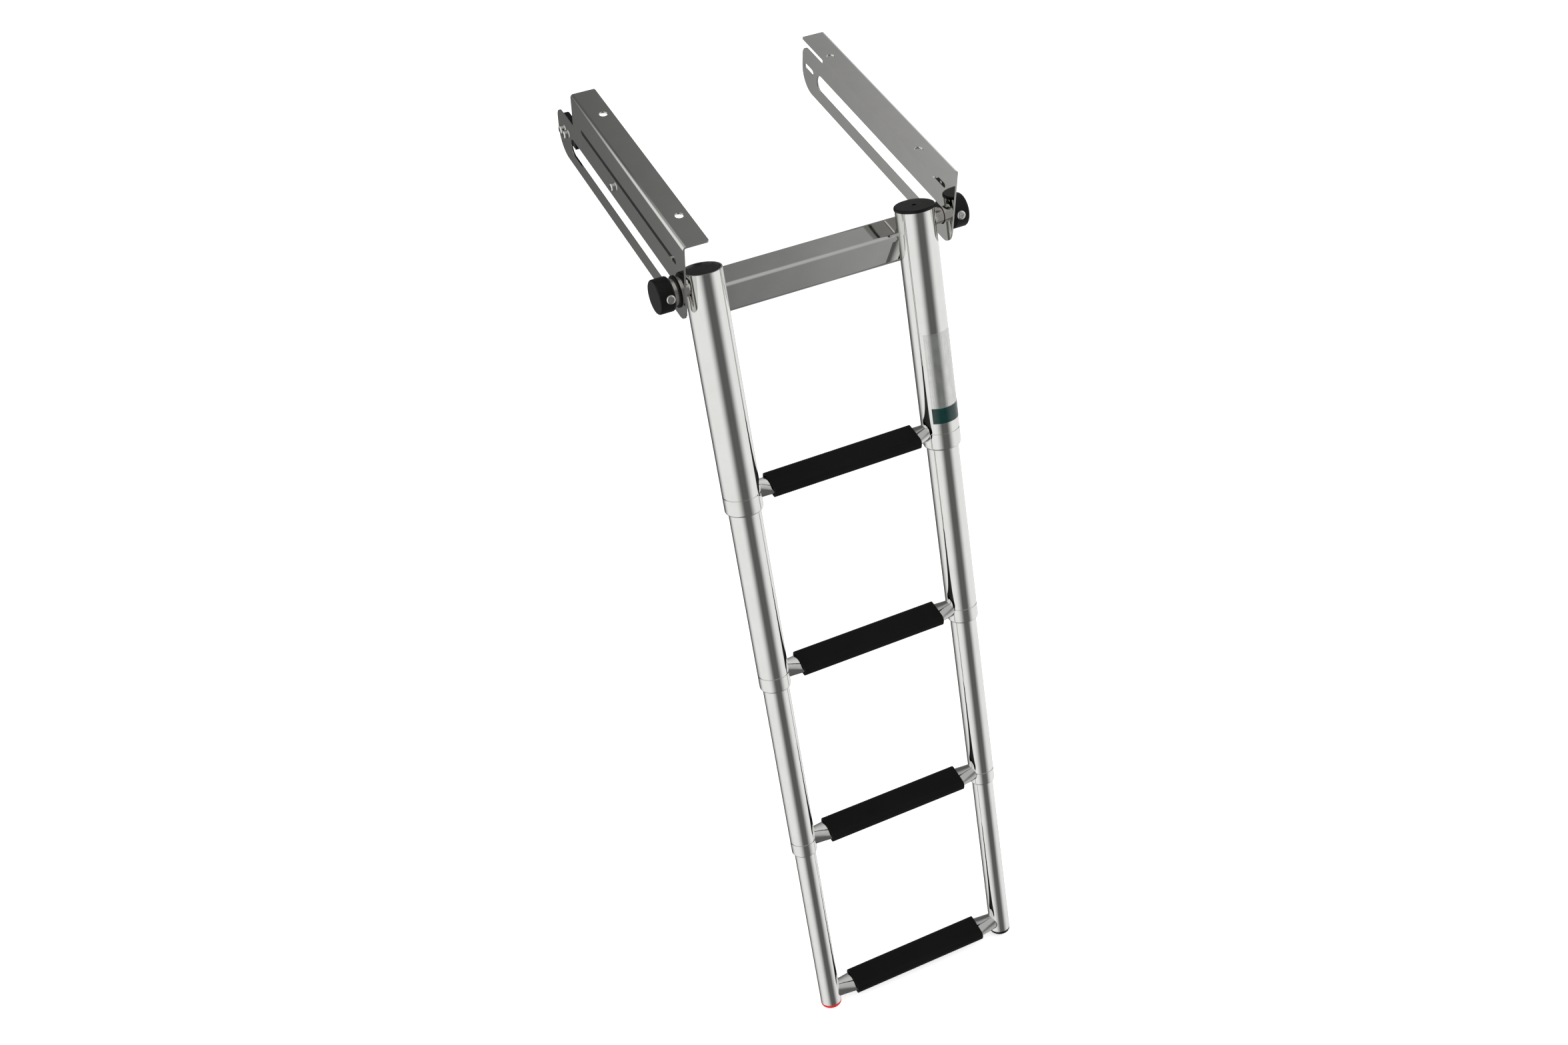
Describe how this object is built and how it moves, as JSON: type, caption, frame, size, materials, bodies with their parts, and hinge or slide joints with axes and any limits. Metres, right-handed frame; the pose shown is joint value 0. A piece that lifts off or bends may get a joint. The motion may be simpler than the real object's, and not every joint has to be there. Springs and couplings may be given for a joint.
{
  "type": "telescoping boarding ladder",
  "caption": "Telescoping boarding ladder with level steps, hinged from slotted angle rails that bolt under a boat's swim platform and stow it.",
  "frame": {"origin": "centre of the four platform bolt holes, on the top faces of the rail flanges", "axes": "+Z out of the flange faces, up into the platform; +Y along the rails towards the boat; +X to the right seen from the water"},
  "size_m": [0.349, 0.6592, 0.9567],
  "materials": {
    "polished_stainless": "mirror polished",
    "axle_steel": "turned bright",
    "screw_steel": "polished",
    "black_cap_plastic": "satin",
    "black_nylon": "satin",
    "white_acetal": "satin",
    "tread_rubber": "matt",
    "red_plug_plastic": "gloss",
    "label_film": "gloss"
  },
  "bodies": {
    "rails": {"rail_left": "polished_stainless", "rail_right": "polished_stainless", "slot_strip_left": "black_nylon", "slot_strip_right": "black_nylon", "strip_screws": "screw_steel", "stop_block": "black_nylon", "stop_block_screws": "screw_steel", "web_screw": "screw_steel", "web_screw_nut": "screw_steel"},
    "sliders": {"slot_slider_left": "black_nylon", "slot_slider_right": "black_nylon"},
    "stage_0": {"tube_0_left": "polished_stainless", "tube_0_right": "polished_stainless", "crossbeam": "polished_stainless", "step_tube_1": "polished_stainless", "tread_1": "tread_rubber", "collar_1_left": "polished_stainless", "collar_1_right": "polished_stainless", "pivot_stub_left": "axle_steel", "pivot_stub_right": "axle_steel", "spacer_ring_left": "axle_steel", "spacer_ring_right": "axle_steel", "end_cap_left": "black_cap_plastic", "end_cap_right": "black_cap_plastic", "cap_screws": "screw_steel", "top_plug_left": "black_cap_plastic", "top_cap_right": "black_cap_plastic", "label_right": "label_film"},
    "stage_1": {"tube_1_left": "polished_stainless", "tube_1_right": "polished_stainless", "glide_bush_1_left": "white_acetal", "glide_bush_1_right": "white_acetal", "step_tube_2": "polished_stainless", "tread_2": "tread_rubber", "collar_2_left": "polished_stainless", "collar_2_right": "polished_stainless"},
    "stage_2": {"tube_2_left": "polished_stainless", "tube_2_right": "polished_stainless", "glide_bush_2_left": "white_acetal", "glide_bush_2_right": "white_acetal", "step_tube_3": "polished_stainless", "tread_3": "tread_rubber", "collar_3_left": "polished_stainless", "collar_3_right": "polished_stainless"},
    "stage_3": {"tube_3_left": "polished_stainless", "tube_3_right": "polished_stainless", "glide_bush_3_left": "white_acetal", "glide_bush_3_right": "white_acetal", "step_tube_4": "polished_stainless", "tread_4": "tread_rubber", "foot_plug_left": "red_plug_plastic", "foot_plug_right": "black_cap_plastic"}
  },
  "joints": [
    {"name": "rail_slide", "type": "slide", "parent": "rails", "child": "sliders", "axis": [0, 1, 0], "range_m": [0, 0.27]},
    {"name": "ladder_hinge", "type": "hinge", "parent": "sliders", "child": "stage_0", "pos_m": [0, -0.126, -0.069], "axis": [-1, 0, 0], "range_deg": [0, 70]},
    {"name": "stage_1_slide", "type": "slide", "parent": "stage_0", "child": "stage_1", "axis": [0, 0.342, 0.9397], "range_m": [0, 0.192]},
    {"name": "stage_2_slide", "type": "slide", "parent": "stage_1", "child": "stage_2", "axis": [0, 0.342, 0.9397], "range_m": [0, 0.2]},
    {"name": "stage_3_slide", "type": "slide", "parent": "stage_2", "child": "stage_3", "axis": [0, 0.342, 0.9397], "range_m": [0, 0.203]}
  ]
}
